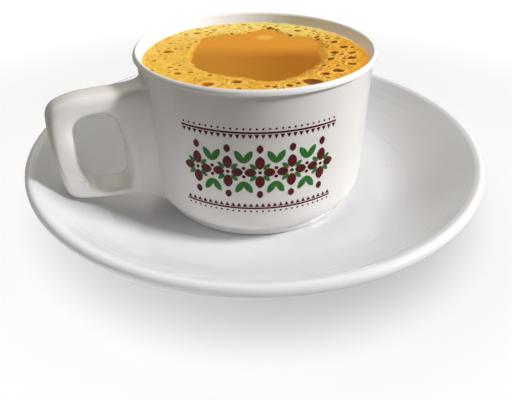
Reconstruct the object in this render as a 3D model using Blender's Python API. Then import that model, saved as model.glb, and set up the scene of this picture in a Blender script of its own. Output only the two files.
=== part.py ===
"""A cup of frothy masala chai on its deep saucer.

The cup is straight-walled hotel ware with a thin rolled lip, a rounded shoulder, a foot ring and a
squarish loop handle. It stands in the flat well of its saucer. The chai fills it to just under the
lip, and a collar of froth floats round the clear pool in its middle. Units are metres, +Z is up, and
the origin is under the middle of the saucer's foot ring. The handle points left and to the front.
"""

import math

import bmesh
import bpy

# Saucer
SAUCER_RADIUS = 0.0763
SAUCER_HEIGHT = 0.0257
SAUCER_WALL = 0.0036
SAUCER_BEAD = 0.0017
WELL_RADIUS = 0.0348
WELL_HEIGHT = 0.0053
WELL_UNDERSIDE = 0.0015
SAUCER_CURVE = 1.9
SLOPE_DROP = 0.0006
SAUCER_FOOT_OUTER = 0.0468
SAUCER_FOOT_INNER = 0.0433
FOOT_EDGE = 0.0005

# Cup
RIM_RADIUS = 0.0380
RIM_HEIGHT = 0.05645
LIP_BEAD = 0.00095
NECK_RADIUS = 0.0369
NECK_HEIGHT = 0.05285
WALL_TOP_RADIUS = 0.03705
WALL_TOP_HEIGHT = 0.04945
WALL_FOOT_RADIUS = 0.03735
SHOULDER_START = 0.0146
SHOULDER_DEPTH = 0.0064
SHOULDER_RADIUS = 0.0343
CUP_FOOT_HEIGHT = 0.0056
CUP_FOOT_OUTER = 0.0334
CUP_FOOT_INNER = 0.0295
CUP_UNDERSIDE = 0.0078
CUP_FLOOR = 0.0120
INNER_RADIUS_TOP = 0.0353
INNER_RADIUS_FOOT = 0.0338
INNER_CORNER = 0.0090

# Handle, in its own upright plane: distance out from the cup's axis, and height
HANDLE_AZIMUTH = math.radians(205)
HANDLE_THICKNESS = 0.0110
GRIP_ROUNDNESS = 0.556  # 1 is an ellipse, and less is squarer
HANDLE_TOP = 0.0499
HANDLE_REACH = 0.0664
HANDLE_ROOT = 0.0362
HANDLE_ROOT_FLARE = 0.0020
HANDLE_ROOT_LENGTH = 0.0060
HANDLE_OUTLINE = (
    # reach, height, corner radius
    (HANDLE_ROOT, HANDLE_TOP + 0.0006, 0.0),
    (0.0425, HANDLE_TOP - 0.0002, 0.0060),
    (0.0580, HANDLE_TOP - 0.0002, 0.0200),
    (0.0652, HANDLE_TOP - 0.0026, 0.0060),
    (HANDLE_REACH + 0.0004, 0.0352, 0.0300),
    (0.0652, 0.0182, 0.0044),
    (0.0430, 0.0146, 0.0080),
    (HANDLE_ROOT, 0.0118, 0.0),
)
HOLE_MIDDLE = (0.0528, 0.0322)
HOLE_OUTLINE = (
    (0.0462, 0.0443, 0.0050),
    (0.0597, 0.0445, 0.0060),
    (0.0600, 0.0193, 0.0060),
    (0.0455, 0.0188, 0.0046),
)

# Drink
FROTH_LEVEL = 0.0529
POOL_LEVEL = 0.0524
FROTH_UNDERSIDE = 0.0515
FROTH_CROWN = 0.0001
CLEARANCE = 0.0003
DRINK_RADIUS = INNER_RADIUS_TOP - CLEARANCE - 0.0001
POOL_OUTLINE = (
    # azimuth in degrees, distance from the axis
    (-161, 0.0203),
    (-146, 0.0204),
    (-118, 0.0192),
    (-96, 0.0193),
    (-82, 0.0219),
    (-60, 0.0216),
    (-42, 0.0207),
    (-13, 0.0213),
    (10, 0.0212),
    (38, 0.0262),
    (60, 0.0234),
    (82, 0.0282),
    (99, 0.0232),
    (134, 0.0250),
    (152, 0.0215),
    (178, 0.0198),
)
BUBBLE_FLATTENING = 0.5
LARGE_BUBBLES = (
    # azimuth in degrees, distance from the axis, diameter
    (175, 0.0285, 0.0032),
    (164, 0.0232, 0.0017),
    (133, 0.0308, 0.0025),
    (120, 0.0302, 0.0018),
    (216, 0.0280, 0.0024),
    (242, 0.0282, 0.0036),
    (257, 0.0236, 0.0030),
    (58, 0.0295, 0.0026),
    (24, 0.0293, 0.0027),
    (13, 0.0300, 0.0030),
    (3, 0.0255, 0.0026),
    (2, 0.0310, 0.0026),
    (-7, 0.0305, 0.0028),
    (-11, 0.0240, 0.0022),
    (-17, 0.0308, 0.0026),
    (-31, 0.0285, 0.0030),
    (-40, 0.0265, 0.0023),
    (-55, 0.0284, 0.0050),
    (-70, 0.0275, 0.0020),
)

TURNING_STEPS = 64
HANDLE_STEPS = 60
GRIP_STEPS = 16


def clear_scene():
    for thing in list(bpy.data.objects):
        bpy.data.objects.remove(thing)


def finish(name, colour, roughness):
    material = bpy.data.materials.new(name)
    material.use_nodes = True
    shader = material.node_tree.nodes["Principled BSDF"]
    shader.inputs["Base Color"].default_value = (*colour, 1.0)
    shader.inputs["Roughness"].default_value = roughness
    shader.inputs["Metallic"].default_value = 0.0
    return material


def add_object(name, mesh, material):
    mesh.materials.append(material)
    mesh.shade_smooth()
    piece = bpy.data.objects.new(name, mesh)
    bpy.context.scene.collection.objects.link(piece)
    return piece


def arc(centre, radii, start, end, steps):
    """Points on an ellipse's arc, with angles in degrees from outwards (0) to upwards (90)."""
    points = []
    for step in range(steps + 1):
        angle = math.radians(start + (end - start) * step / steps)
        points.append((centre[0] + radii[0] * math.cos(angle), centre[1] + radii[1] * math.sin(angle)))
    return points


def turned(name, section, material):
    """A solid turned round +Z from a section that goes from the axis, out, down and back to the axis."""
    mesh = bpy.data.meshes.new(name)
    edges = [(i, i + 1) for i in range(len(section) - 1)]
    mesh.from_pydata([(r, 0.0, z) for r, z in section], edges, [])
    piece = add_object(name, mesh, material)
    screw = piece.modifiers.new("Turn", "SCREW")
    screw.axis = "Z"
    screw.steps = TURNING_STEPS
    screw.render_steps = TURNING_STEPS
    screw.use_merge_vertices = True
    screw.merge_threshold = 1e-5
    screw.use_smooth_shade = True
    return piece


def skinned(name, loops, material, ring=False):
    """A solid over loops of equal length: a stack with flat ends or, as a ring, closed on itself."""
    count = len(loops[0])
    shape = bmesh.new()
    rows = [[shape.verts.new(point) for point in loop] for loop in loops]
    pairs = list(zip(rows, rows[1:] + rows[:1])) if ring else list(zip(rows, rows[1:]))
    for low, high in pairs:
        for i in range(count):
            j = (i + 1) % count
            shape.faces.new((low[i], low[j], high[j], high[i]))
    if not ring:
        shape.faces.new(rows[0][::-1])
        shape.faces.new(rows[-1])
    bmesh.ops.recalc_face_normals(shape, faces=shape.faces)
    mesh = bpy.data.meshes.new(name)
    shape.to_mesh(mesh)
    shape.free()
    return add_object(name, mesh, material)


def rounded(corners, steps):
    """Evenly spaced points round a closed outline whose corners, each (x, y, radius), are rounded."""
    path = []
    for i, (x, y, radius) in enumerate(corners):
        before, after = corners[i - 1], corners[(i + 1) % len(corners)]
        if radius == 0.0:
            path.append((x, y))
            continue
        to_before = (before[0] - x, before[1] - y)
        to_after = (after[0] - x, after[1] - y)
        lengths = math.hypot(*to_before), math.hypot(*to_after)
        reach = min(radius, 0.48 * lengths[0], 0.48 * lengths[1])
        start = (x + to_before[0] / lengths[0] * reach, y + to_before[1] / lengths[0] * reach)
        end = (x + to_after[0] / lengths[1] * reach, y + to_after[1] / lengths[1] * reach)
        for step in range(9):
            t = step / 8
            weights = ((1 - t) ** 2, 2 * t * (1 - t), t**2)
            path.append(tuple(sum(w * p[k] for w, p in zip(weights, (start, (x, y), end))) for k in (0, 1)))
    return evenly_spaced(path, steps)


def evenly_spaced(path, steps):
    closed = path + path[:1]
    spans = [math.dist(a, b) for a, b in zip(closed, closed[1:])]
    total = sum(spans)
    points, index, passed = [], 0, 0.0
    for step in range(steps):
        target = total * step / steps
        while passed + spans[index] < target:
            passed += spans[index]
            index += 1
        t = (target - passed) / spans[index]
        a, b = closed[index], closed[index + 1]
        points.append((a[0] + (b[0] - a[0]) * t, a[1] + (b[1] - a[1]) * t))
    return points


def smoothstep(low, high, value):
    t = min(max((value - low) / (high - low), 0.0), 1.0)
    return t * t * (3 - 2 * t)


def saucer_slope(radius):
    """Height and steepness of the saucer's upper face between its well and its bead."""
    width = SAUCER_RADIUS - 2 * SAUCER_BEAD - WELL_RADIUS
    rise = SAUCER_HEIGHT - WELL_HEIGHT - SLOPE_DROP
    t = max(radius - WELL_RADIUS, 0.0) / width
    height = WELL_HEIGHT + rise * t**SAUCER_CURVE
    slope = math.atan(SAUCER_CURVE * rise / width * t ** (SAUCER_CURVE - 1))
    return height, slope


def saucer_section():
    slope_end = SAUCER_RADIUS - 2 * SAUCER_BEAD
    steps = 9
    section = [(0.0, WELL_HEIGHT), (WELL_RADIUS, WELL_HEIGHT)]
    upper = [WELL_RADIUS + (slope_end - WELL_RADIUS) * step / steps for step in range(1, steps + 1)]
    section += [(radius, saucer_slope(radius)[0]) for radius in upper]
    bead = (SAUCER_RADIUS - SAUCER_BEAD, SAUCER_HEIGHT - SAUCER_BEAD)
    section += arc(bead, (SAUCER_BEAD, SAUCER_BEAD), 120, -50, 6)
    for radius in (0.0690, 0.0640, 0.0590, 0.0540, 0.0490):
        height, slope = saucer_slope(radius)
        section.append((radius + SAUCER_WALL * math.sin(slope), height - SAUCER_WALL * math.cos(slope)))
    section += [
        (SAUCER_FOOT_OUTER + 0.0006, 0.0028),
        (SAUCER_FOOT_OUTER, FOOT_EDGE),
        (SAUCER_FOOT_OUTER - FOOT_EDGE, 0.0),
        (SAUCER_FOOT_INNER + FOOT_EDGE, 0.0),
        (SAUCER_FOOT_INNER, FOOT_EDGE),
        (SAUCER_FOOT_INNER - 0.0008, WELL_UNDERSIDE),
        (0.0, WELL_UNDERSIDE),
    ]
    return section


def inner_wall():
    """The cup's inside from the edge of its flat floor up to just under the lip."""
    corner = (INNER_RADIUS_FOOT - INNER_CORNER, CUP_FLOOR + INNER_CORNER)
    points = arc(corner, (INNER_CORNER, INNER_CORNER), -90, 0, 5)
    return points + [(INNER_RADIUS_TOP, FROTH_LEVEL)]


def cup_section():
    bead = (RIM_RADIUS - LIP_BEAD, RIM_HEIGHT - LIP_BEAD)
    section = [(0.0, CUP_FLOOR), *inner_wall()]
    section += arc(bead, (LIP_BEAD, LIP_BEAD), 180, -60, 8)
    section += [(NECK_RADIUS, NECK_HEIGHT), (WALL_TOP_RADIUS, WALL_TOP_HEIGHT)]
    shoulder = (SHOULDER_RADIUS, SHOULDER_START)
    section += arc(shoulder, (WALL_FOOT_RADIUS - SHOULDER_RADIUS, SHOULDER_DEPTH), 0, -90, 6)
    section += [
        (CUP_FOOT_OUTER, SHOULDER_START - SHOULDER_DEPTH - 0.0003),
        (CUP_FOOT_OUTER, CUP_FOOT_HEIGHT + FOOT_EDGE),
        (CUP_FOOT_OUTER - FOOT_EDGE, CUP_FOOT_HEIGHT),
        (CUP_FOOT_INNER + FOOT_EDGE, CUP_FOOT_HEIGHT),
        (CUP_FOOT_INNER, CUP_FOOT_HEIGHT + FOOT_EDGE),
        (CUP_FOOT_INNER - 0.0008, CUP_UNDERSIDE),
        (0.0, CUP_UNDERSIDE),
    ]
    return section


def handle_point(reach, height, side):
    """A point of the handle. It thickens towards its root, whose end bends round inside the cup's wall."""
    near_root = max(0.0, 1 - (reach - HANDLE_ROOT) / HANDLE_ROOT_LENGTH)
    side *= 1 + 2 * HANDLE_ROOT_FLARE / HANDLE_THICKNESS * near_root**2
    bend = 1 - smoothstep(HANDLE_ROOT, HANDLE_ROOT + HANDLE_ROOT_LENGTH, reach)
    reach -= bend * side**2 / (2 * HANDLE_ROOT)
    out = (math.cos(HANDLE_AZIMUTH), math.sin(HANDLE_AZIMUTH))
    return (out[0] * reach - out[1] * side, out[1] * reach + out[0] * side, height)


def handle_loops():
    """Closed loops round the hole, one for each step of the grip's rounded-square cross-section."""

    def by_direction(points):
        """Starts the loop at the point that lies straight out from the hole's middle."""
        outwards = [p if p[0] > HOLE_MIDDLE[0] else (-1.0, 1.0) for p in points]
        start = min(range(len(points)), key=lambda k: abs(outwards[k][1] - HOLE_MIDDLE[1]))
        return points[start:] + points[:start]

    outer = by_direction(rounded(HANDLE_OUTLINE[::-1], HANDLE_STEPS))
    hole = by_direction(rounded(HOLE_OUTLINE[::-1], HANDLE_STEPS))
    loops = []
    for step in range(GRIP_STEPS):
        angle = 2 * math.pi * step / GRIP_STEPS
        across, through = math.cos(angle), math.sin(angle)
        share = 0.5 + 0.5 * math.copysign(abs(across) ** GRIP_ROUNDNESS, across)
        side = HANDLE_THICKNESS / 2 * math.copysign(abs(through) ** GRIP_ROUNDNESS, through)
        loop = []
        for (hole_reach, hole_height), (reach, height) in zip(hole, outer):
            reach = hole_reach + (reach - hole_reach) * share
            height = hole_height + (height - hole_height) * share
            loop.append(handle_point(reach, height, side))
        loops.append(loop)
    return loops


def pool_edge(azimuth):
    """Distance from the axis to the pool's edge, on a smooth closed curve through POOL_OUTLINE."""
    first = POOL_OUTLINE[0][0]
    azimuth = (math.degrees(azimuth) - first) % 360 + first
    count = len(POOL_OUTLINE)
    knots = []
    for i in range(-2, count + 3):
        angle, distance = POOL_OUTLINE[i % count]
        knots.append((angle + 360 * (i // count), distance))
    k = max(i for i in range(1, len(knots) - 2) if knots[i][0] <= azimuth)
    (x0, y0), (x1, y1), (x2, y2), (x3, y3) = knots[k - 1 : k + 3]
    t = (azimuth - x1) / (x2 - x1)
    leave = (y2 - y0) / (x2 - x0) * (x2 - x1)
    arrive = (y3 - y1) / (x3 - x1) * (x2 - x1)
    return (
        (2 * t**3 - 3 * t**2 + 1) * y1
        + (t**3 - 2 * t**2 + t) * leave
        + (3 * t**2 - 2 * t**3) * y2
        + (t**3 - t**2) * arrive
    )


def loop_at(distance, height):
    """A loop round the axis, where distance is a number or a function of the azimuth."""
    points = []
    for step in range(TURNING_STEPS):
        azimuth = 2 * math.pi * step / TURNING_STEPS
        radius = distance(azimuth) if callable(distance) else distance
        points.append((radius * math.cos(azimuth), radius * math.sin(azimuth), height))
    return points


def make_saucer(glaze):
    return turned("saucer", saucer_section(), glaze)


def make_cup(glaze):
    cup = turned("cup", cup_section(), glaze)
    handle = skinned("handle_blank", handle_loops(), glaze, ring=True)
    handle.hide_render = True
    handle.display_type = "WIRE"
    join = cup.modifiers.new("Handle", "BOOLEAN")
    join.operation = "UNION"
    join.object = handle
    return cup


def make_chai(drink):
    """The drink up to its level: a raised pool in the middle, and a shelf that the froth floats on."""
    loops = []
    for radius, height in inner_wall()[:-1]:
        loops.append(loop_at(radius - CLEARANCE, height + CLEARANCE))
    shelf = FROTH_UNDERSIDE - CLEARANCE
    loops.append(loop_at(DRINK_RADIUS, shelf))
    loops.append(loop_at(lambda azimuth: pool_edge(azimuth) - CLEARANCE, shelf))
    loops.append(loop_at(lambda azimuth: pool_edge(azimuth) - CLEARANCE, POOL_LEVEL))
    return skinned("chai", loops, drink)


def make_froth(foam):
    """The collar of froth between the pool and the cup, with the pits of its larger bubbles."""

    def outwards(share):
        return lambda azimuth: pool_edge(azimuth) + (DRINK_RADIUS - pool_edge(azimuth)) * share

    loops = [
        loop_at(pool_edge, FROTH_UNDERSIDE),
        loop_at(DRINK_RADIUS, FROTH_UNDERSIDE),
        loop_at(DRINK_RADIUS, FROTH_LEVEL),
        loop_at(outwards(0.55), FROTH_LEVEL + FROTH_CROWN),
        loop_at(outwards(0.16), FROTH_LEVEL),
        loop_at(pool_edge, POOL_LEVEL + FROTH_CROWN),
    ]
    froth = skinned("froth", loops, foam, ring=True)
    pits = bmesh.new()
    for azimuth, distance, diameter in LARGE_BUBBLES:
        sphere = bmesh.ops.create_uvsphere(pits, u_segments=10, v_segments=6, radius=diameter / 2)["verts"]
        centre = (distance * math.cos(math.radians(azimuth)), distance * math.sin(math.radians(azimuth)))
        bmesh.ops.scale(pits, vec=(1.0, 1.0, BUBBLE_FLATTENING), verts=sphere)
        bmesh.ops.translate(pits, vec=(*centre, FROTH_LEVEL + FROTH_CROWN), verts=sphere)
    mesh = bpy.data.meshes.new("bubble_pits")
    pits.to_mesh(mesh)
    pits.free()
    cutter = add_object("bubble_pits", mesh, foam)
    cutter.hide_render = True
    cutter.display_type = "WIRE"
    cut = froth.modifiers.new("Bubbles", "BOOLEAN")
    cut.operation = "DIFFERENCE"
    cut.object = cutter
    return froth


clear_scene()
white_glaze = finish("white_glaze", (0.83, 0.82, 0.80), 0.12)
milky_tea = finish("milky_tea", (0.56, 0.26, 0.05), 0.15)
golden_froth = finish("golden_froth", (0.82, 0.52, 0.12), 0.45)
make_saucer(white_glaze)
make_cup(white_glaze)
make_chai(milky_tea)
make_froth(golden_froth)
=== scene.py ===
import math

import bmesh
import bpy
import numpy as np
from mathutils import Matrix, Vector


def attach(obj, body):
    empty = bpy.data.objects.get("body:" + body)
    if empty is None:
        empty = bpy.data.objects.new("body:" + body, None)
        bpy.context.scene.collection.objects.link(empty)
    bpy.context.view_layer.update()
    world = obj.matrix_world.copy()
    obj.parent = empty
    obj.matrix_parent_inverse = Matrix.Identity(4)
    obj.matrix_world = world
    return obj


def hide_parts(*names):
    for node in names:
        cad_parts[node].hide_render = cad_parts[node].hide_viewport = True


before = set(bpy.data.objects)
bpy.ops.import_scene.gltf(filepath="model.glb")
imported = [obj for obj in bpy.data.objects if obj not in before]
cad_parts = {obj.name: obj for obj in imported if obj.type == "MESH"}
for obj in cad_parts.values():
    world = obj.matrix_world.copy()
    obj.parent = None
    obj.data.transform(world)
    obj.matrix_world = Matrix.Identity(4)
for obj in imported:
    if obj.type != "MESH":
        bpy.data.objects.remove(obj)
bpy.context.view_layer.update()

# Camera
# It looks down on the cup by 36 degrees from 18 cm off, as the photo was taken, and its lens takes in
# 512 by 400 pixels with the saucer across most of the width.
camera_data = bpy.data.cameras.new("camera")
camera_data.sensor_width = 36.0
camera_data.lens = 32.97
camera_data.clip_start = 0.005
camera = bpy.data.objects.new("camera", camera_data)
camera.location = (0.0, -0.14872, 0.10341)
camera.rotation_euler = (math.radians(53.98), math.radians(0.19), math.radians(-0.20))
bpy.context.scene.collection.objects.link(camera)
bpy.context.scene.camera = camera
bpy.context.scene.view_settings.view_transform = "Standard"

# Light
# The key is a wide window at the right, 36 degrees up. The walls behind the cup are bright and the room
# is dim on the viewer's side, which leaves the cup's front grey. The white table lights from below.
class Shade:
    """A socket of a material. Operators on it add Math nodes, and node() adds any other node."""

    def __init__(self, tree, socket=None):
        self.tree = tree
        self.socket = socket

    def fill(self, node, inputs):
        """Link or set the sockets of a node."""
        for name, value in inputs.items():
            if isinstance(value, Shade):
                self.tree.links.new(value.socket, node.inputs[name])
            else:
                node.inputs[name].default_value = value

    def node(self, kind, settings=None, inputs=None, output=0):
        """Add a node of this kind: its settings come first, then the values or links of its sockets."""
        added = self.tree.nodes.new("ShaderNode" + kind)
        for name, value in (settings or {}).items():
            setattr(added, name, value)
        self.fill(added, inputs or {})
        return Shade(self.tree, added.outputs[output])

    def maths(self, operation, *values):
        return self.node("Math", {"operation": operation}, dict(enumerate(values)))

    def __add__(self, other):
        return self.maths("ADD", self, other)

    def __sub__(self, other):
        return self.maths("SUBTRACT", self, other)

    def __rsub__(self, other):
        return self.maths("SUBTRACT", other, self)

    def __mul__(self, other):
        return self.maths("MULTIPLY", self, other)

    __radd__ = __add__
    __rmul__ = __mul__

    def ramp(self, low, high):
        """0 below low and 1 above high, with a smooth rise between them."""
        settings = {"interpolation_type": "SMOOTHSTEP"}
        return self.node("MapRange", settings, {0: self, 1: low, 2: high})

    def blend(self, start, end):
        """The colour start where this is 0, and end where it is 1."""
        colours = [c if isinstance(c, Shade) else (*c, 1.0) for c in (start, end)]
        inputs = {0: self, 6: colours[0], 7: colours[1]}
        return self.node("Mix", {"data_type": "RGBA"}, inputs, output=2)

    def noise(self, scale, detail=2.0, distortion=0.0):
        inputs = {"Vector": self, "Scale": scale, "Detail": detail, "Distortion": distortion}
        return self.node("TexNoise", {}, inputs)

    def cells(self, scale):
        return self.node("TexVoronoi", {}, {"Vector": self, "Scale": scale})

    def bump(self, distance, strength, under=None):
        """A normal from this as a height, on top of another bump's normal where one is given."""
        inputs = {"Height": self, "Distance": distance, "Strength": strength}
        if under is not None:
            inputs["Normal"] = under
        return self.node("Bump", {}, inputs)

    def axis(self, k):
        """One number of a vector: X, Y or Z for a k of 0, 1 or 2."""
        return self.node("SeparateXYZ", {}, {0: self}, output=k)

    def distance_to(self, point=(0.0, 0.0, 0.0)):
        return self.node("VectorMath", {"operation": "DISTANCE"}, {0: self, 1: point}, output="Value")

    def stored(self, name):
        """A number that the mesh keeps at each of its points."""
        return self.node("Attribute", {"attribute_name": name}, {}, output="Fac")


KEY_AZIMUTH = math.radians(-8)
KEY_HEIGHT = math.radians(36)
KEY_DISTANCE = 1.0
key_data = bpy.data.lights.new("key", "AREA")
key_data.shape = "RECTANGLE"
key_data.size = 0.26
key_data.size_y = 0.11
key_data.energy = 10.4
key_data.color = (0.96, 0.965, 1.0)
key = bpy.data.objects.new("key", key_data)
key.location = (
    KEY_DISTANCE * math.cos(KEY_HEIGHT) * math.cos(KEY_AZIMUTH),
    KEY_DISTANCE * math.cos(KEY_HEIGHT) * math.sin(KEY_AZIMUTH),
    KEY_DISTANCE * math.sin(KEY_HEIGHT),
)
key.rotation_euler = (math.radians(90) - KEY_HEIGHT, 0.0, math.radians(90) + KEY_AZIMUTH)
bpy.context.scene.collection.objects.link(key)
world = bpy.data.worlds.new("room")
world.use_nodes = True
gaze = Shade(world.node_tree).node("TexCoord")
to_right, to_back, upward = (gaze.axis(k) for k in range(3))
behind = to_back.ramp(-0.60, -0.20)
upper_walls = upward.ramp(0.36, 0.50) * (1 - upward.ramp(0.80, 0.90))
room = to_right * 0.11 + to_back * 0.05 + 0.22
table = (1 - upward.ramp(-0.70, -0.28)) * (0.50 - to_right * 0.60 + to_back * 0.10)
gaze.fill(
    world.node_tree.nodes["Background"],
    {"Color": (0.97, 0.945, 0.85, 1.0), "Strength": upper_walls * (behind - room) + table + room},
)
bpy.context.scene.world = world

# Floor
# A plain white table top in front of a pale backdrop, only there to stand the saucer on. A softbox
# over the camera lights it alone, so that it comes out white, without the key's long shadow.
def new_finish(name):
    """A material, its Principled shader, and the piece's own coordinates in metres."""
    material = bpy.data.materials.new(name)
    material.use_nodes = True
    shader = material.node_tree.nodes["Principled BSDF"]
    place = Shade(material.node_tree).node("TexCoord", output="Object")
    return material, shader, place


def add_piece(name, mesh, material):
    mesh.materials.append(material)
    piece = bpy.data.objects.new(name, mesh)
    bpy.context.scene.collection.objects.link(piece)
    return piece


def disk_lamp(name, across, watts, place, turned):
    """A round area lamp, which shines down its own -Z once it is turned."""
    data = bpy.data.lights.new(name, "AREA")
    data.shape = "DISK"
    data.size = across
    data.energy = watts
    lamp = bpy.data.objects.new(name, data)
    lamp.location = place
    lamp.rotation_euler = turned
    bpy.context.scene.collection.objects.link(lamp)
    return lamp


def link_light(lamp, role, state, *pieces):
    """Make a lamp's receivers or blockers these pieces alone (INCLUDE) or all but these (EXCLUDE)."""
    linked = getattr(lamp.light_linking, role)
    if linked is None:
        linked = bpy.data.collections.new(lamp.name + "_" + role)
        setattr(lamp.light_linking, role, linked)
    for piece in pieces:
        linked.objects.link(piece)
    for member in linked.collection_objects:
        member.light_linking.link_state = state


FLOOR_RADIUS = 4.0
BACKDROP_HEIGHT = 3.0
ROUND = 64
SOFTBOX_BACK = 0.38
SOFTBOX_HEIGHT = 0.925
floor_finish, floor_shader, floor_place = new_finish("white_table")
far_off = floor_place.distance_to().ramp(0.13, 0.50)
floor_place.fill(
    floor_shader,
    {
        "Base Color": floor_place.noise(6.0).blend((0.82, 0.82, 0.82), (0.84, 0.84, 0.84)),
        "Roughness": 0.7,
        "Emission Color": far_off.blend((0.150, 0.160, 0.190), (0.92, 0.93, 0.96)),
        "Emission Strength": 1.0,
    },
)
circle = [(math.cos(2 * math.pi * i / ROUND), math.sin(2 * math.pi * i / ROUND)) for i in range(ROUND)]
floor_mesh = bpy.data.meshes.new("floor")
floor_mesh.from_pydata([(FLOOR_RADIUS * x, FLOOR_RADIUS * y, 0.0) for x, y in circle], [], [range(ROUND)])
floor = add_piece("floor", floor_mesh, floor_finish)
backdrop_mesh = bpy.data.meshes.new("backdrop")
backdrop_mesh.from_pydata(
    [(FLOOR_RADIUS * x, FLOOR_RADIUS * y, z) for z in (0.0, BACKDROP_HEIGHT) for x, y in circle],
    [],
    [(i, (i + 1) % ROUND, ROUND + (i + 1) % ROUND, ROUND + i) for i in range(ROUND)],
)
backdrop = add_piece("backdrop", backdrop_mesh, floor_finish)
for surface in (floor, backdrop):
    surface.visible_shadow = False
    surface.visible_diffuse = False
    surface.visible_glossy = False
softbox_turn = (math.atan2(SOFTBOX_BACK, SOFTBOX_HEIGHT), 0.0, 0.0)
softbox = disk_lamp("softbox", 1.0, 7.0, (0.0, -SOFTBOX_BACK, SOFTBOX_HEIGHT), softbox_turn)
link_light(softbox, "receiver_collection", "INCLUDE", floor)
link_light(key, "receiver_collection", "EXCLUDE", floor)

# Saucer
# Thick hotel porcelain, jiggered over a plaster mould: a flat well for the cup, a deep curved slope,
# and a rounded bead at the edge. It stands on an unglazed foot ring and is dipped in clear glaze. A lamp
# of its own stands in for the light that the table throws back onto its outer side.
def arc(centre, radii, start, end, steps):
    """Points on an ellipse's arc, with angles in degrees from outwards (0) to upwards (90)."""
    angles = [math.radians(start + (end - start) * step / steps) for step in range(steps + 1)]
    return [(centre[0] + radii[0] * math.cos(a), centre[1] + radii[1] * math.sin(a)) for a in angles]


def turn(name, section, steps):
    """A closed mesh turned round the axis from a section that starts and ends on it."""
    shape = bmesh.new()
    points = [shape.verts.new((radius, 0.0, height)) for radius, height in section]
    edges = [shape.edges.new(pair) for pair in zip(points, points[1:])]
    bmesh.ops.spin(
        shape, geom=points + edges, axis=(0, 0, 1), angle=2 * math.pi, steps=steps, use_merge=True
    )
    bmesh.ops.remove_doubles(shape, verts=shape.verts, dist=2e-6)
    bmesh.ops.recalc_face_normals(shape, faces=shape.faces)
    mesh = bpy.data.meshes.new(name)
    shape.to_mesh(mesh)
    shape.free()
    mesh.shade_smooth()
    return mesh


def glaze(name, tone, shade_tone):
    """Clear glaze on white porcelain: faint clouds, a few iron specks, and a slightly wavy surface.

    It gives the material, its shader, and the parts of the coat that each piece is worked on from.
    """
    material, shader, place = new_finish(name)
    body = place.noise(34.0, 3.0).ramp(0.35, 0.70).blend(tone, shade_tone)
    speck = (1 - place.cells(110.0).ramp(0.020, 0.036)) * place.noise(60.0, 1.0).ramp(0.48, 0.50)
    colour = (speck * 0.55).blend(body, (0.42, 0.36, 0.30))
    waves = place.noise(110.0, 1.0) * 0.5 + place.noise(600.0, 2.0) * 0.05
    relief = waves.bump(0.00012, 0.5)
    flattened = place.node("VectorMath", {"operation": "MULTIPLY"}, {0: place, 1: (1.0, 1.0, 0.0)})
    roughness = place.noise(48.0, 3.0).ramp(0.3, 0.8) * 0.10 + 0.13
    place.fill(shader, {"Base Color": colour, "Roughness": roughness, "IOR": 1.5, "Normal": relief})
    coat = {"place": place, "from_axis": flattened.distance_to(), "colour": colour, "relief": relief}
    return material, shader, coat


def foot_ring(outer, inner, ground):
    """The rounded edges of a foot ring, from its outer side round to its inner side."""
    edge = (FOOT_EDGE, FOOT_EDGE)
    outer_edge = arc((outer - FOOT_EDGE, ground + FOOT_EDGE), edge, 0, -90, 5)
    return outer_edge + arc((inner + FOOT_EDGE, ground + FOOT_EDGE), edge, -90, -180, 5)


SAUCER_RADIUS = 0.0763
SAUCER_HEIGHT = 0.0257
SAUCER_WALL = 0.0036
SAUCER_BEAD = 0.0017
WELL_RADIUS = 0.0348
WELL_HEIGHT = 0.0053
WELL_UNDERSIDE = 0.0015
SLOPE_CURVE = 1.9
SLOPE_DROP = 0.0006
UNDERSIDE_ENDS = (0.0700, 0.0490)
TURN_STEPS = 256
BOUNCE_PLACE = (-0.32, -0.40, -0.16)
BOUNCE_AIM = (0.0, 0.0, 0.02)
FOOT_OUTER = 0.0468
FOOT_INNER = 0.0433
FOOT_EDGE = 0.0005
TOOL_MARK_WIDTH = 0.0006
TOOL_MARKS = (
    # radius, depth
    (0.0549, 0.00006),
    (0.0628, 0.00004),
    (0.0671, 0.00006),
    (0.0697, 0.00005),
)


def saucer_slope(radius):
    """Height and steepness of the saucer's upper face between its well and its bead."""
    width = SAUCER_RADIUS - 2 * SAUCER_BEAD - WELL_RADIUS
    rise = SAUCER_HEIGHT - WELL_HEIGHT - SLOPE_DROP
    t = max(radius - WELL_RADIUS, 0.0) / width
    steepness = math.atan(SLOPE_CURVE * rise / width * t ** (SLOPE_CURVE - 1))
    return WELL_HEIGHT + rise * t**SLOPE_CURVE, steepness


def tool_marks(radius):
    """Faint rings that the jigger's blade left in the slope."""
    return sum(depth * math.exp(-(((radius - ring) / TOOL_MARK_WIDTH) ** 2)) for ring, depth in TOOL_MARKS)


slope_end = SAUCER_RADIUS - 2 * SAUCER_BEAD
saucer_section = [(radius, WELL_HEIGHT) for radius in np.linspace(0.0, WELL_RADIUS, 8)]
for radius in np.linspace(WELL_RADIUS, slope_end, 120)[1:]:
    saucer_section.append((radius, saucer_slope(radius)[0] - tool_marks(radius)))
bead_middle = (SAUCER_RADIUS - SAUCER_BEAD, SAUCER_HEIGHT - SAUCER_BEAD)
saucer_section += arc(bead_middle, (SAUCER_BEAD, SAUCER_BEAD), 125, -50, 28)
for radius in np.linspace(*UNDERSIDE_ENDS, 24):
    height, slope = saucer_slope(radius)
    saucer_section.append((radius + SAUCER_WALL * math.sin(slope), height - SAUCER_WALL * math.cos(slope)))
saucer_section += [(FOOT_OUTER + 0.0006, 0.0028), (FOOT_OUTER + 0.0002, 0.0018)]
saucer_section += foot_ring(FOOT_OUTER, FOOT_INNER, 0.0)
saucer_section += [(FOOT_INNER - 0.0008, WELL_UNDERSIDE), (0.0, WELL_UNDERSIDE)]
saucer_glaze, saucer_shader, coat = glaze("saucer_glaze", (0.835, 0.832, 0.862), (0.81, 0.806, 0.83))
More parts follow.
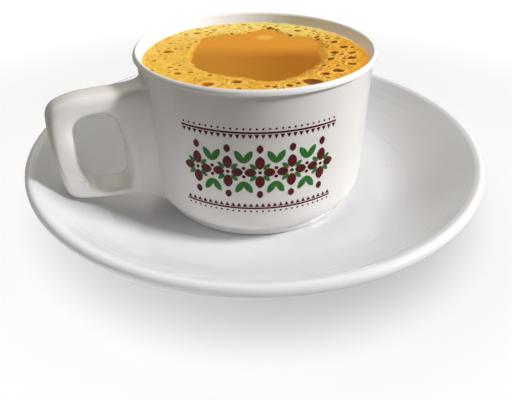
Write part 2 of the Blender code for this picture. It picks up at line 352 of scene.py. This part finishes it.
# Painted shade: the glaze is darker close beside the cup at the right, where its wall would throw back too
# much light.
right_side = coat["place"].axis(0).ramp(-0.005, 0.030)
painted_shade_beside_cup = (1 - coat["from_axis"].ramp(0.036, 0.050)) * right_side * 0.5
painted_shade_beside_cup.fill(saucer_shader, {"Base Color": painted_shade_beside_cup.blend(coat["colour"], (0.55, 0.545, 0.55))})
saucer_mesh = turn("saucer_porcelain", saucer_section, TURN_STEPS)
saucer = add_piece("saucer_porcelain", saucer_mesh, saucer_glaze)
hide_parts("saucer")
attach(saucer, "root")
bounce_turn = (Vector(BOUNCE_PLACE) - Vector(BOUNCE_AIM)).to_track_quat("Z", "Y").to_euler()
bounce = disk_lamp("bounce", 0.5, 1.0, BOUNCE_PLACE, bounce_turn)
link_light(bounce, "receiver_collection", "INCLUDE", saucer)

# Cup
# A straight-walled cup, slip-cast in the same porcelain, with a thin rolled lip, a rounded shoulder and
# a foot ring. The squarish loop handle is cast apart and stuck on with slip, which fills the corner.
RIM_RADIUS = 0.0380
RIM_HEIGHT = 0.05645
LIP_WIDTH = 0.0019
NECK = (0.03700, 0.05285)
WALL_TOP = (0.03705, 0.04945)
WALL_FOOT_RADIUS = 0.03735
SHOULDER_START = 0.0146
SHOULDER_DEPTH = 0.0053
SHOULDER_RADIUS = 0.0343
CUP_FOOT_HEIGHT = 0.0056
CUP_FOOT_OUTER = 0.0334
CUP_FOOT_INNER = 0.0295
CUP_UNDERSIDE = 0.0078
CUP_FLOOR = 0.0120
INNER_RADIUS_TOP = 0.0353
INNER_RADIUS_FOOT = 0.0338
INNER_CORNER = 0.0090
FROTH_LEVEL = 0.0529


def through(points, steps):
    """A smooth curve that passes through all but the first and last of these points."""
    curve = []
    for a, b, c, d in zip(points, points[1:], points[2:], points[3:]):
        for step in range(steps):
            t = step / steps
            weights = (
                (-t + 2 * t**2 - t**3) / 2,
                (2 - 5 * t**2 + 3 * t**3) / 2,
                (t + 4 * t**2 - 3 * t**3) / 2,
                (-(t**2) + t**3) / 2,
            )
            curve.append(tuple(sum(w * p[k] for w, p in zip(weights, (a, b, c, d))) for k in (0, 1)))
    return curve + [points[-2]]


inner_corner = (INNER_RADIUS_FOOT - INNER_CORNER, CUP_FLOOR + INNER_CORNER)
inner_wall = arc(inner_corner, (INNER_CORNER, INNER_CORNER), -90, 0, 18) + [(INNER_RADIUS_TOP, FROTH_LEVEL)]
lip_inside = (RIM_RADIUS - LIP_WIDTH, RIM_HEIGHT - 0.0013)
lip = through(
    [
        inner_wall[-1],
        lip_inside,
        (lip_inside[0] + 0.00022, RIM_HEIGHT - 0.00055),
        (lip_inside[0] + 0.00085, RIM_HEIGHT - 0.00002),
        (RIM_RADIUS - 0.00062, RIM_HEIGHT - 0.00016),
        (RIM_RADIUS - 0.00024, RIM_HEIGHT - 0.00055),
        (RIM_RADIUS - 0.00003, RIM_HEIGHT - 0.00108),
        (RIM_RADIUS, RIM_HEIGHT - 0.00135),
        (RIM_RADIUS - 0.00020, RIM_HEIGHT - 0.00162),
        (NECK[0], RIM_HEIGHT - 0.00172),
    ],
    6,
)
wall = [(NECK[0], RIM_HEIGHT - 0.00185), NECK, WALL_TOP, (0.03715, 0.0400), (0.0372, 0.0300)]
cup_section = [(0.0, CUP_FLOOR), *inner_wall, *lip, *wall]
shoulder_size = (WALL_FOOT_RADIUS - SHOULDER_RADIUS, SHOULDER_DEPTH)
cup_section += arc((SHOULDER_RADIUS, SHOULDER_START), shoulder_size, 0, -90, 24)
cup_section += [(CUP_FOOT_OUTER, SHOULDER_START - SHOULDER_DEPTH - 0.0003)]
cup_section += foot_ring(CUP_FOOT_OUTER, CUP_FOOT_INNER, CUP_FOOT_HEIGHT)
cup_section += [(CUP_FOOT_INNER - 0.0008, CUP_UNDERSIDE), (0.0, CUP_UNDERSIDE)]

HANDLE_AZIMUTH = math.radians(205)
HANDLE_THICKNESS = 0.0110
GRIP_ROUNDNESS = 0.556
HANDLE_TOP = 0.0499
HANDLE_REACH = 0.0664
HANDLE_ROOT = 0.0362
ROOT_FILLET = 0.0034
ROOT_BEND = 0.006
CORNER_SHARE = 0.48
HANDLE_STEPS = 260
GRIP_FACETS = 56
HANDLE_KNOCK = (-0.0503, -0.0286, 0.0246)
HANDLE_OUTLINE = (
    # reach, height, corner radius
    (HANDLE_ROOT, HANDLE_TOP + 0.0006, 0.0),
    (0.0425, HANDLE_TOP - 0.0002, 0.0060),
    (0.0580, HANDLE_TOP - 0.0002, 0.0200),
    (0.0652, HANDLE_TOP - 0.0026, 0.0060),
    (HANDLE_REACH + 0.0004, 0.0352, 0.0300),
    (0.0652, 0.0182, 0.0044),
    (0.0418, 0.0148, 0.0050),
    (HANDLE_ROOT, 0.0106, 0.0),
)
HOLE_MIDDLE = (0.0528, 0.0322)
HOLE_OUTLINE = (
    # reach, height, corner radius
    (0.0478, 0.0443, 0.0055),
    (0.0592, 0.0443, 0.0055),
    (0.0602, 0.0270, 0.0080),
    (0.0568, 0.0193, 0.0055),
    (0.0458, 0.0190, 0.0050),
    (0.0449, 0.0330, 0.0080),
)


def rounded(outline, steps):
    """Evenly spaced points round an outline whose corners are rounded, from straight out of the hole."""
    path = []
    for i, (x, y, radius) in enumerate(outline):
        corner = np.array((x, y))
        before, after = np.array(outline[i - 1][:2]), np.array(outline[(i + 1) % len(outline)][:2])
        lengths = [np.linalg.norm(end - corner) for end in (before, after)]
        reach = min(radius, CORNER_SHARE * min(lengths))
        start, end = (
            corner + (other - corner) / length * reach for other, length in zip((before, after), lengths)
        )
        ts = np.linspace(0, 1, 24)[:, None] if radius else np.zeros((1, 1))
        path.extend((1 - ts) ** 2 * start + 2 * ts * (1 - ts) * corner + ts**2 * end)
    path = np.array(path + path[:1])
    along = np.concatenate(([0], np.cumsum(np.linalg.norm(np.diff(path, axis=0), axis=1))))
    places = np.linspace(0, along[-1], steps, endpoint=False)
    points = np.stack([np.interp(places, along, path[:, k]) for k in (0, 1)], axis=1)
    away = np.where(points[:, 0] > HOLE_MIDDLE[0], abs(points[:, 1] - HOLE_MIDDLE[1]), 1.0)
    return np.roll(points, -int(away.argmin()), axis=0)


def skin(name, loops, ring=False):
    """A closed mesh over loops of equal length, capped at both ends or, as a ring, closed on itself."""
    loops = np.asarray(loops)
    rows, count = loops.shape[:2]
    shape = bmesh.new()
    grid = [[shape.verts.new(point) for point in loop] for loop in loops]
    for i in range(rows if ring else rows - 1):
        low, high = grid[i], grid[(i + 1) % rows]
        for j in range(count):
            k = (j + 1) % count
            shape.faces.new((low[j], low[k], high[k], high[j]))
    if not ring:
        shape.faces.new(grid[0][::-1])
        shape.faces.new(grid[-1])
    bmesh.ops.recalc_face_normals(shape, faces=shape.faces)
    mesh = bpy.data.meshes.new(name)
    shape.to_mesh(mesh)
    shape.free()
    mesh.shade_smooth()
    return mesh


def handle_points(reach, height, side):
    """Places in the handle's upright plane, turned to its azimuth, with the fillet against the wall.

    The sides of the root are bent in to follow the round wall.
    """
    to_wall = np.clip(1 - (reach - WALL_TOP[0]) / ROOT_FILLET, 0.0, 1.0)
    side = side * (1 + 2 * ROOT_FILLET * (1 - np.sqrt(1 - to_wall**2)) / HANDLE_THICKNESS)
    straight = np.clip((reach - HANDLE_ROOT) / ROOT_BEND, 0.0, 1.0)
    reach = reach - (1 - straight**2 * (3 - 2 * straight)) * side**2 / (2 * HANDLE_ROOT)
    out = (math.cos(HANDLE_AZIMUTH), math.sin(HANDLE_AZIMUTH))
    return np.stack([out[0] * reach - out[1] * side, out[1] * reach + out[0] * side, height], axis=-1)


outer = rounded(HANDLE_OUTLINE[::-1], HANDLE_STEPS)
hole = rounded(HOLE_OUTLINE[::-1], HANDLE_STEPS)
handle_loops = []
for angle in np.linspace(0, 2 * math.pi, GRIP_FACETS, endpoint=False):
    across, through_grip = math.cos(angle), math.sin(angle)
    share = 0.5 + 0.5 * math.copysign(abs(across) ** GRIP_ROUNDNESS, across)
    side = HANDLE_THICKNESS / 2 * math.copysign(abs(through_grip) ** GRIP_ROUNDNESS, through_grip)
    middle = hole + (outer - hole) * share
    handle_loops.append(handle_points(middle[:, 0], middle[:, 1], np.full(len(middle), side)))

cup_glaze, cup_shader, coat = glaze("cup_glaze", (0.80, 0.775, 0.745), (0.78, 0.752, 0.72))
level = coat["place"].axis(2)
# Painted light: the lip is a lighter white than the wall, a painted highlight along its rolled band.
lip_highlight_share = level.ramp(RIM_HEIGHT - 0.0017, RIM_HEIGHT - 0.0013)
outside_tone_with_lip_highlight = lip_highlight_share.blend(coat["colour"], (0.91, 0.895, 0.88))
# Painted light: the inner wall above the drink is tinted cooler and whiter, against the warm light that the
# froth throws back onto it.
inside = (1 - coat["from_axis"].ramp(0.0359, 0.0364)) * level.ramp(0.0520, 0.0528)
# A small rough place at the lower corner of the handle's hole, with painted glints: pale specks in its
# colour.
from_knock = coat["place"].distance_to(HANDLE_KNOCK)
chipped = (1 - from_knock.ramp(0.0008, 0.0042)) * coat["place"].noise(1100.0)
painted_glint = (1 - from_knock.ramp(0.0018, 0.0050)) * coat["place"].noise(1400.0).ramp(0.50, 0.60)
painted_glint.fill(
    cup_shader,
    {
        "Base Color": painted_glint.blend(inside.blend(outside_tone_with_lip_highlight, (0.87, 0.90, 0.99)), (0.98, 0.96, 0.93)),
        "Normal": chipped.bump(0.0012, 1.0, coat["relief"]),
    },
)
cup_blank = add_piece("cup_blank", turn("cup_blank", cup_section, TURN_STEPS), cup_glaze)
handle_blank = add_piece("handle_blank", skin("handle_blank", handle_loops, ring=True), cup_glaze)
join = cup_blank.modifiers.new("join", "BOOLEAN")
join.operation = "UNION"
join.object = handle_blank
cup_mesh = bpy.data.meshes.new_from_object(cup_blank.evaluated_get(bpy.context.evaluated_depsgraph_get()))
cup_mesh.materials.clear()
cup_mesh.shade_smooth()
cup_mesh.set_sharp_from_angle(angle=math.radians(50))
for blank in (cup_blank, handle_blank):
    bpy.data.objects.remove(blank)
cup = add_piece("cup_porcelain", cup_mesh, cup_glaze)
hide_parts("cup")
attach(cup, "root")

# Ornament
# A block-print frieze in two overglaze enamels, maroon and leaf green: flowers of four petals between
# leaf sprigs, with a toothed border above and below. It is a transfer, fired flat onto the wall.
ORNAMENT_AZIMUTH = math.radians(-88)
ORNAMENT_HEIGHT = 0.0318
ORNAMENT_WIDTH = 0.0460
BAND_HALF = 0.0122
FLOWERS = 5
TEETH = 26
LINE_WIDTH = 0.00055
DOT_RADIUS = 0.00055
DOT_POINTS = 18
PETAL_POINTS = 24
ENAMEL_PROUD = 0.00005
ENAMEL_SUNK = 0.00012


def wall_radius(height):
    t = (height - SHOULDER_START) / (WALL_TOP[1] - SHOULDER_START)
    return WALL_FOOT_RADIUS + (WALL_TOP[0] - WALL_FOOT_RADIUS) * t


def enamel(name, shapes, material):
    """Thin closed slips on the cup's wall, from outlines (along, up) that each bulge round their middle."""
    shape = bmesh.new()
    for outline in shapes:
        middle = tuple(sum(p[k] for p in outline) / len(outline) for k in (0, 1))
        layers = []
        for offset in (ENAMEL_PROUD, -ENAMEL_SUNK):
            layer = []
            for along, up in [*outline, middle]:
                height = ORNAMENT_HEIGHT + up
                angle = ORNAMENT_AZIMUTH + along / WALL_TOP[0]
                radius = wall_radius(height) + offset
                layer.append(shape.verts.new((radius * math.cos(angle), radius * math.sin(angle), height)))
            layers.append(layer)
        top, bottom = layers
        count = len(outline)
        for i in range(count):
            j = (i + 1) % count
            shape.faces.new((top[i], top[j], top[count]))
            shape.faces.new((bottom[j], bottom[i], bottom[count]))
            shape.faces.new((top[j], top[i], bottom[i], bottom[j]))
    bmesh.ops.recalc_face_normals(shape, faces=shape.faces)
    mesh = bpy.data.meshes.new(name)
    shape.to_mesh(mesh)
    shape.free()
    piece = add_piece(name, mesh, material)
    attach(piece, "root")


def petal(along, up, length, width, turn_by, start=0.0):
    """An almond that points away from a place, start off it, at an angle from straight along."""
    outline = []
    across, upright = math.cos(turn_by), math.sin(turn_by)
    for step in range(PETAL_POINTS):
        angle = 2 * math.pi * step / PETAL_POINTS
        x = start + length * (0.5 - 0.5 * math.cos(angle))
        y = width / 2 * math.sin(angle) * abs(math.sin(angle)) ** 0.35
        outline.append((along + x * across - y * upright, up + x * upright + y * across))
    return outline


def dot(along, up, radius):
    angles = [2 * math.pi * step / DOT_POINTS for step in range(DOT_POINTS)]
    return [(along + radius * math.cos(a), up + radius * math.sin(a)) for a in angles]


def enamel_finish(name, colour, light_colour):
    """Printed enamel: a little uneven in strength, with pinholes where the paste didn't take."""
    material, shader, place = new_finish(name)
    pinholes = place.noise(2600.0, 1.0).ramp(0.66, 0.72)
    thin = place.noise(300.0, 3.0).ramp(0.4, 0.75) * 0.6 + pinholes * 0.5
    place.fill(
        shader,
        {
            "Base Color": thin.blend(colour, light_colour),
            "Roughness": 0.25,
            "Specular IOR Level": 0.2,
            "Normal": place.noise(900.0, 2.0).bump(0.00004, 0.5),
        },
    )
    return material


maroon_shapes, green_shapes = [], []
pitch = ORNAMENT_WIDTH / FLOWERS
# Flowers of four petals, with small leaves between these, a round middle, and a bud above and below.
for flower in range(FLOWERS):
    along = (flower - (FLOWERS - 1) / 2) * pitch
    for quarter in range(4):
        pointing = quarter * math.pi / 2
        length = 0.0042 if quarter % 2 else 0.0034
        maroon_shapes.append(petal(along, 0.0, length, 0.0028, pointing, start=0.0010))
        green_shapes.append(petal(along, 0.0, 0.0026, 0.0013, pointing + math.pi / 4, start=0.0014))
    maroon_shapes.append(dot(along, 0.0, DOT_RADIUS))
    for end in (-1, 1):
        maroon_shapes.append(petal(along, end * 0.0062, 0.0026, 0.0019, end * math.pi / 2))
# Sprigs of two leaves above and below each gap, with two dots in it.
for sprig in range(FLOWERS - 1):
    along = (sprig - (FLOWERS - 2) / 2) * pitch
    for end in (-1, 1):
        for lean in (-1, 1):
            pointing = end * (math.pi / 2 + lean * 0.55)
            green_shapes.append(petal(along, end * 0.0030, 0.0046, 0.0020, pointing))
        maroon_shapes.append(dot(along, end * 0.0014, DOT_RADIUS))
# A line with teeth on its inner side and dots on its outer side, at the top and at the bottom.
for end in (-1, 1):
    for step in range(TEETH):
        left = (step / TEETH - 0.5) * ORNAMENT_WIDTH
        right = left + ORNAMENT_WIDTH / TEETH
        line = BAND_HALF * end
        line_end = line + end * LINE_WIDTH
        maroon_shapes.append([(left, line), (right, line), (right, line_end), (left, line_end)])
        tip = line - end * 0.0016
        base = line - end * 0.00025
        maroon_shapes.append([(left + 0.0002, base), ((left + right) / 2, tip), (right - 0.0002, base)])
        maroon_shapes.append(dot((left + right) / 2, line + end * 0.0014, 0.00032))
maroon_enamel = enamel_finish("maroon_enamel", (0.085, 0.005, 0.005), (0.120, 0.012, 0.012))
green_enamel = enamel_finish("green_enamel", (0.022, 0.160, 0.022), (0.060, 0.230, 0.045))
enamel("ornament_maroon", maroon_shapes, maroon_enamel)
enamel("ornament_green", green_shapes, green_enamel)

# Chai
# Strong milky tea, boiled with spices and strained. It stands clear in the middle of the cup, where
# it was poured last, a little lower than the froth. Its colour is lighter at the back, a painted
# reflection, and darker towards the drinker and the right, painted shade.
POOL_LEVEL = 0.0524
SHELF_LEVEL = 0.0512
INTO_WALL = 0.0002
OFF_WALL = 0.0001
SHELF_OVERLAP = 0.0006
MENISCUS_RISE = 0.00004
MENISCUS_WIDTH = 0.0005
HIGHLIGHT_PLACE = (0.0035, 0.0192)
POOL_OUTLINE = (
    # azimuth in degrees, distance from the axis
    (-161, 0.0203),
    (-146, 0.0204),
    (-118, 0.0192),
    (-96, 0.0193),
    (-82, 0.0219),
    (-60, 0.0216),
    (-42, 0.0207),
    (-13, 0.0213),
    (10, 0.0212),
    (38, 0.0262),
    (60, 0.0234),
    (82, 0.0282),
    (99, 0.0232),
    (134, 0.0250),
    (152, 0.0215),
    (178, 0.0198),
)


def pool_edge(azimuth):
    """Distance from the axis to the pool's edge, on a smooth closed curve through POOL_OUTLINE."""
    first = POOL_OUTLINE[0][0]
    azimuth = (math.degrees(azimuth) - first) % 360 + first
    count = len(POOL_OUTLINE)
    knots = []
    for i in range(-2, count + 3):
        angle, distance = POOL_OUTLINE[i % count]
        knots.append((angle + 360 * (i // count), distance))
    k = max(i for i in range(1, len(knots) - 2) if knots[i][0] <= azimuth)
    (x0, y0), (x1, y1), (x2, y2), (x3, y3) = knots[k - 1 : k + 3]
    t = (azimuth - x1) / (x2 - x1)
    leave = (y2 - y0) / (x2 - x0) * (x2 - x1)
    arrive = (y3 - y1) / (x3 - x1) * (x2 - x1)
    return (
        (2 * t**3 - 3 * t**2 + 1) * y1
        + (t**3 - 2 * t**2 + t) * leave
        + (3 * t**2 - 2 * t**3) * y2
        + (t**3 - t**2) * arrive
    )


def loop_at(azimuths, distance, height):
    """A closed loop of points round the axis at one height, or at a height of its own for each."""
    heights = height + 0 * azimuths
    return np.stack([distance * np.cos(azimuths), distance * np.sin(azimuths), heights], axis=-1)


def store(mesh, name, values):
    kept = mesh.attributes.new(name, "FLOAT", "POINT")
    kept.data.foreach_set("value", values.astype(np.float32).ravel())


AROUND = 900
RAGGED_EDGE = (
    # size, waves round the edge, start
    (0.00017, 19, 0.4),
    (0.00012, 33, 2.1),
    (0.00006, 57, 4.0),
)
azimuths = np.linspace(0, 2 * math.pi, AROUND, endpoint=False)
ragged = sum(size * np.sin(count * azimuths + start) for size, count, start in RAGGED_EDGE)
pool_radius = np.array([pool_edge(a) for a in azimuths]) + ragged
chai_loops = [loop_at(azimuths, radius + INTO_WALL, height) for radius, height in inner_wall[:-1]]
chai_loops.append(loop_at(azimuths, INNER_RADIUS_TOP - OFF_WALL + INTO_WALL, SHELF_LEVEL))
chai_loops.append(loop_at(azimuths, pool_radius + SHELF_OVERLAP, SHELF_LEVEL))
pool_shares = np.concatenate(([1.0], np.linspace(0.99, 0.90, 10), np.linspace(0.87, 0.04, 22)))
from_edge = (1 - pool_shares[:, None]) * pool_radius
meniscus = MENISCUS_RISE * np.exp(-from_edge / MENISCUS_WIDTH)
for share, rise in zip(pool_shares, meniscus):
    chai_loops.append(loop_at(azimuths, share * (pool_radius + SHELF_OVERLAP), POOL_LEVEL + rise))
chai_mesh = skin("chai_drink", chai_loops)
edge_depth = np.ones((len(chai_loops), AROUND))
edge_depth[-len(pool_shares):] = np.clip(from_edge / 0.004, 0, 1)
store(chai_mesh, "from_edge", edge_depth)

chai_finish, chai_shader, chai_place = new_finish("milky_chai")
chai_x, chai_y = (chai_place.axis(k) for k in (0, 1))
drift = chai_place.noise(70.0)
# Painted light: the far half is lighter, a painted reflection of the bright walls behind, and the near half
# darker towards the right, painted shade.
painted_reflection_far_half = (chai_y + drift * 0.006 - 0.003).ramp(-0.003, 0.011)
near_tone_painted_shade = chai_x.ramp(-0.016, 0.018).blend((0.530, 0.212, 0.014), (0.400, 0.132, 0.003))
tea = painted_reflection_far_half.blend(near_tone_painted_shade, (0.730, 0.300, 0.022))
tea = (1 - chai_place.stored("from_edge").ramp(0.0, 0.40)).blend(tea, (0.560, 0.235, 0.018))
# A painted highlight: a pale patch on the tea, right of the middle and towards the back.
from_highlight = chai_place.distance_to((*HIGHLIGHT_PLACE, POOL_LEVEL))
tea = (1 - from_highlight.ramp(0.0020, 0.0038)).blend(tea, (0.78, 0.430, 0.068))
chai_place.fill(
    chai_shader,
    {
        "Base Color": tea,
        "Roughness": 0.2,
        "IOR": 1.33,
        "Specular IOR Level": 0.06,
        "Normal": chai_place.noise(55.0, 1.0).bump(0.0002, 0.35),
    },
)
chai = add_piece("chai_drink", chai_mesh, chai_finish)
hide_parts("chai")
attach(chai, "root")

# Froth
# The golden collar that pouring from a height raises: milk foam full of bubbles, from pinholes to a few
# that are as wide as a lentil. Each burst bubble shows the dark tea in it, inside a pale rim, with painted
# shade on its far side and a painted highlight on the near side of its rim. No shadow of the lip falls on
# the drink in the photo, so a second key, which the cup doesn't block, lights it.
FROTH_UNDERSIDE = 0.0513
FROTH_TOP = FROTH_LEVEL + 0.0001
LARGE_BUBBLES = (
    # azimuth in degrees, distance from the axis, diameter
    (175, 0.0285, 0.0032),
    (164, 0.0232, 0.0017),
    (133, 0.0308, 0.0025),
    (120, 0.0302, 0.0018),
    (216, 0.0280, 0.0024),
    (242, 0.0282, 0.0036),
    (257, 0.0236, 0.0030),
    (58, 0.0295, 0.0026),
    (24, 0.0293, 0.0027),
    (13, 0.0300, 0.0030),
    (3, 0.0255, 0.0026),
    (2, 0.0310, 0.0026),
    (-7, 0.0305, 0.0028),
    (-11, 0.0240, 0.0022),
    (-17, 0.0308, 0.0026),
    (-31, 0.0285, 0.0030),
    (-40, 0.0265, 0.0023),
    (-55, 0.0284, 0.0050),
    (-70, 0.0275, 0.0020),
)
SMALL_BUBBLES = (
    # how many, smallest and largest radius
    (95, 0.00060, 0.00100),
    (230, 0.00034, 0.00056),
    (260, 0.00014, 0.00026),
)
TRIALS_PER_BUBBLE = 12
BUBBLE_SPACING = 1.08
WALL_MARGIN = 0.0004
SMOOTH_BAND = 0.0022
THINNED_IN_FRONT = 0.35
LUMPS = (
    # size, waves along X and Y in radians per metre, start
    (0.00005, 900, 500, 0.3),
    (0.00005, -420, 1100, 1.9),
    (0.00004, 1500, -900, 3.3),
    (0.00003, 2300, 1700, 5.0),
    (0.00003, -2100, 2600, 0.9),
)
PIT_DEPTH = 0.60
DEEPEST_PIT = 0.00060
RIM_RISE = 0.00007
POOL_OVERLAP = 0.0003
BELOW_POOL = 0.00003
INNER_SLOPE = 0.0021
WIDER_AT_RIGHT = 0.0014
WALL_RISE = 0.00018
WALL_RISE_WIDTH = 0.00045
EDGE_REACH = 0.003
ACROSS = 104

draw = np.random.default_rng(21)
bubbles = []
for degrees, distance, diameter in LARGE_BUBBLES:
    angle = math.radians(degrees)
    bubbles.append((distance * math.cos(angle), distance * math.sin(angle), diameter / 2))
for wanted, smallest, largest in SMALL_BUBBLES:
    placed = 0
    for _ in range(wanted * TRIALS_PER_BUBBLE):
        angle = draw.uniform(0, 2 * math.pi)
        edge = pool_edge(angle)
        distance = math.sqrt(draw.uniform(edge**2, (INNER_RADIUS_TOP - WALL_MARGIN) ** 2))
        radius = draw.uniform(smallest, largest)
        smooth_band = SMOOTH_BAND * max(0.0, math.cos(angle)) ** 0.5
        if distance > INNER_RADIUS_TOP - WALL_MARGIN - smooth_band:
            continue
        if draw.uniform() < THINNED_IN_FRONT * max(0.0, -math.sin(angle)):
            continue
        at_x, at_y = distance * math.cos(angle), distance * math.sin(angle)
        crowded = any(
            math.hypot(at_x - bx, at_y - by) < (radius + other) * BUBBLE_SPACING
            for bx, by, other in bubbles
        )
        if crowded:
            continue
        bubbles.append((at_x, at_y, radius))
        placed += 1
        if placed == wanted:
            break

outside = INNER_RADIUS_TOP - OFF_WALL + INTO_WALL
inside_edge = pool_radius - POOL_OVERLAP
from_middle = inside_edge + (outside - inside_edge) * np.linspace(0, 1, ACROSS)[:, None]
x, y = from_middle * np.cos(azimuths), from_middle * np.sin(azimuths)
lumps = sum(size * np.sin(kx * x + ky * y + start) for size, kx, ky, start in LUMPS)
slope_width = INNER_SLOPE + WIDER_AT_RIGHT * np.clip(np.cos(azimuths), 0, 1)
inner_round = np.clip((from_middle - inside_edge) / slope_width, 0, 1)
inner_round = inner_round**2 * (3 - 2 * inner_round)
wall_rise = WALL_RISE * np.exp(-(outside - from_middle) / WALL_RISE_WIDTH)
top = FROTH_TOP + lumps * inner_round + wall_rise
top -= (FROTH_TOP - POOL_LEVEL + BELOW_POOL) * (1 - inner_round)
pit = np.zeros_like(x)
rim = np.zeros_like(x)
sink = np.zeros_like(x)
for bx, by, radius in bubbles:
    stretch = draw.uniform(1.3, 1.75) if radius > 0.0005 else draw.uniform(1.0, 1.4)
    lean = draw.uniform(-0.35, 0.35) + (0.35 if bx > 0.02 else 0.0)
    near = np.hypot(x - bx, y - by) < radius * 2.2
    dx, dy = x[near] - bx, y[near] - by
    u = (dx * math.cos(lean) + dy * math.sin(lean)) / stretch**0.6
    v = (-dx * math.sin(lean) + dy * math.cos(lean)) * stretch**0.1
    away = np.hypot(u, v) / radius
    bowl = np.clip(1 - away**2, 0, 1) ** (0.62 if bx > 0 else 0.9)
    # Painted shade and light: a pit is darker on its far side and its pale rim is paler on its near side,
    # as the light from behind falls. The dark tea and the pale foam rim are their own colours.
    front_side = 0.5 - 0.5 * dy / np.maximum(np.hypot(dx, dy), 1e-6)
    sink[near] = np.maximum(sink[near], bowl * min(PIT_DEPTH * radius, DEEPEST_PIT))
    dark = bowl**0.45 * (1 - 0.65 * front_side * away) * min(1.0, 0.24 + radius / 0.0016)
    pit[near] = np.maximum(pit[near], dark)
    pale = np.exp(-(((away - 1.2) / 0.22) ** 2)) * (0.35 + 0.65 * front_side)
    rim[near] = np.maximum(rim[near], pale * min(1.0, 0.4 + radius / 0.0010))
top += RIM_RISE * rim * (1 - pit) - sink
froth_loops = [loop_at(azimuths, edge, FROTH_UNDERSIDE) for edge in (inside_edge, outside)]
rows = [np.stack([x[i], y[i], top[i]], axis=-1) for i in range(ACROSS)]
froth_mesh = skin("froth_collar", froth_loops + rows[::-1], ring=True)
underside = np.zeros((2, AROUND))
for name, values in (
    ("pit", pit),
    ("rim", rim * (1 - pit)),
    ("from_pool", (from_middle - inside_edge) / EDGE_REACH),
    ("from_wall", (outside - from_middle) / EDGE_REACH),
):
    store(froth_mesh, name, np.concatenate([underside, values[::-1]]))

froth_finish, froth_shader, froth_place = new_finish("golden_froth")
froth_x, froth_y = (froth_place.axis(k) for k in (0, 1))
swirl = froth_place.noise(230.0, 3.0, 0.8)
fine = froth_place.noise(1500.0, 2.0)
foam = swirl.ramp(0.35, 0.68).blend((0.71, 0.345, 0.020), (0.81, 0.470, 0.055))
# Painted light: the froth is lighter on the left and at the back, and deeper orange at the right, partly
# its own colour and partly painted shade.
foam = ((1 - froth_x.ramp(-0.030, -0.006)) * 0.6).blend(foam, (0.84, 0.530, 0.055))
foam = (froth_x.ramp(0.010, 0.028) * 0.85).blend(foam, (0.76, 0.325, 0.002))
foam = (froth_y.ramp(0.010, 0.028) * 0.75).blend(foam, (0.88, 0.725, 0.180))
foam = (1 - froth_place.stored("from_pool").ramp(0.05, 0.70)).blend(foam, (0.62, 0.265, 0.014))
foam = (froth_place.stored("rim") * 0.8).blend(foam, (0.94, 0.680, 0.180))
back_left = (1 - froth_x.ramp(-0.030, -0.008)) * froth_y.ramp(0.006, 0.018)
edge_tone = back_left.blend((0.88, 0.780, 0.400), (0.72, 0.520, 0.020))
at_wall = (1 - froth_place.stored("from_wall").ramp(0.04, 0.24)) * froth_y.ramp(0.0, 0.014)
foam = at_wall.blend(foam, edge_tone)
foam = (fine.ramp(0.64, 0.76) * 0.35).blend(foam, (0.55, 0.235, 0.012))
# The pits' dark tea, with its painted shade, is darker towards the right.
pit_darkness = froth_place.stored("pit").ramp(0.05, 0.85) * (froth_x.ramp(-0.020, 0.016) * 0.35 + 0.70)
foam = pit_darkness.ramp(0.0, 0.55).blend(foam, (0.60, 0.215, 0.008))
foam = pit_darkness.ramp(0.40, 1.0).blend(foam, (0.20, 0.055, 0.001))
froth_place.fill(
    froth_shader,
    {
        "Base Color": foam,
        "Roughness": 0.42 - froth_place.stored("pit") * 0.2,
        "Specular IOR Level": 0.1,
        "Normal": (fine * 0.6 + froth_place.cells(2400.0)).bump(0.00006, 0.5),
    },
)
froth = add_piece("froth_collar", froth_mesh, froth_finish)
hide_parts("froth")
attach(froth, "root")
drink_key = bpy.data.objects.new("drink_key", key_data.copy())
drink_key.location = key.location
drink_key.rotation_euler = key.rotation_euler
bpy.context.scene.collection.objects.link(drink_key)
link_light(drink_key, "receiver_collection", "INCLUDE", chai, froth)
link_light(drink_key, "blocker_collection", "EXCLUDE", cup)
link_light(key, "receiver_collection", "EXCLUDE", chai, froth)
